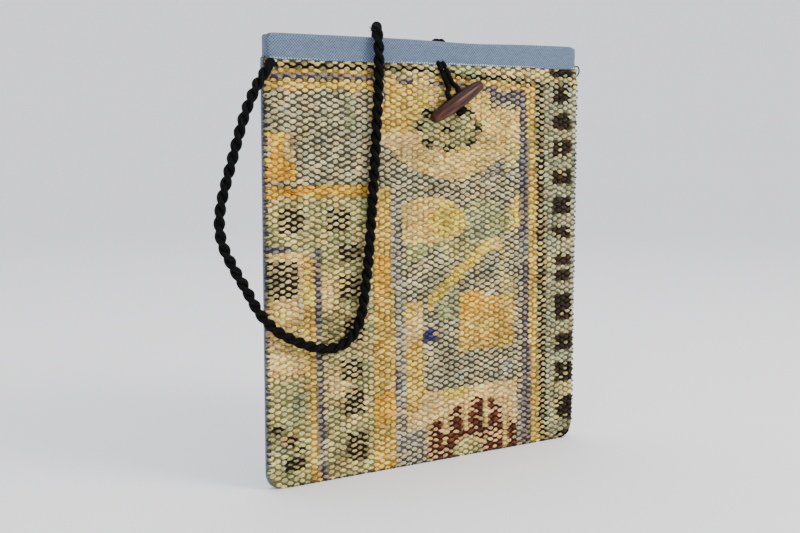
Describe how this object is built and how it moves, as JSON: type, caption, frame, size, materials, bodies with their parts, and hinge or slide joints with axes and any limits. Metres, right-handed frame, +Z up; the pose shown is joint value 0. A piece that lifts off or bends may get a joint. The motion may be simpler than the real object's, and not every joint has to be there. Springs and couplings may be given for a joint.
{
  "type": "carpet-front gift bag",
  "caption": "Flat upright gift bag with a worn wool carpet front, blue cotton band and back, black twisted rope handle and a wooden toggle with a cord closing loop.",
  "frame": {"origin": "middle of the bag's base, halfway through its thickness", "axes": "+Z up, the bag's height; -Y out of the carpet front; +X to the right seen from the front; Y through the thickness"},
  "size_m": [0.3954, 0.0409, 0.3955],
  "materials": {
    "rug_wool": "worn wool carpet, matt",
    "blue_cotton": "light blue cotton oxford weave",
    "lining_cotton": "plain cotton lining",
    "interlining": "non-woven interlining",
    "dark_thread": "dark blue-black sewing thread",
    "light_thread": "pale blue sewing thread",
    "black_rope": "black twisted cotton rope",
    "black_cord": "black cotton cord",
    "toggle_wood": "dark stained wood, polished"
  },
  "bodies": {
    "root": {"rug_panel": "rug_wool", "front_lining": "lining_cotton", "back_lining": "lining_cotton", "back_interlining": "interlining", "back_panel": "blue_cotton", "back_hem": "blue_cotton", "base_strip": "blue_cotton", "base_lining": "lining_cotton", "front_band": "blue_cotton", "band_stiffener": "interlining", "base_stitches": "dark_thread", "band_stitches": "light_thread", "back_hem_stitches": "light_thread", "side_strip_left": "blue_cotton", "side_strip_right": "blue_cotton", "side_lining_left": "lining_cotton", "side_lining_right": "lining_cotton", "band_end_left": "blue_cotton", "band_end_right": "blue_cotton", "side_stitches_left": "dark_thread", "side_stitches_right": "dark_thread", "handle_end_left": "black_rope", "handle_end_right": "black_rope", "handle_tack_left": "dark_thread", "handle_tack_right": "dark_thread", "handle_rope": "black_rope", "toggle_cord_tail": "black_cord", "closing_loop_tails": "black_cord", "closing_loop_tack": "dark_thread"},
    "cord_neck": {"toggle_cord_neck": "black_cord"},
    "toggle": {"toggle": "toggle_wood", "toggle_cord_left": "black_cord", "toggle_cord_right": "black_cord", "toggle_knot": "black_cord"},
    "closing_loop": {"closing_loop": "black_cord"}
  },
  "joints": [
    {"name": "toggle_lift", "type": "hinge", "parent": "root", "child": "cord_neck", "pos_m": [0.0077, -0.008, 0.3585], "axis": [-1, 0, 0], "range_deg": [0, 95]},
    {"name": "toggle_swing", "type": "hinge", "parent": "cord_neck", "child": "toggle", "pos_m": [0.01446, -0.0084, 0.34448], "axis": [0, 1, 0], "range_deg": [-25, 35]},
    {"name": "loop_flip", "type": "hinge", "parent": "root", "child": "closing_loop", "pos_m": [0.017, 0.0182, 0.3751], "axis": [1, 0, 0], "range_deg": [0, 90]}
  ]
}
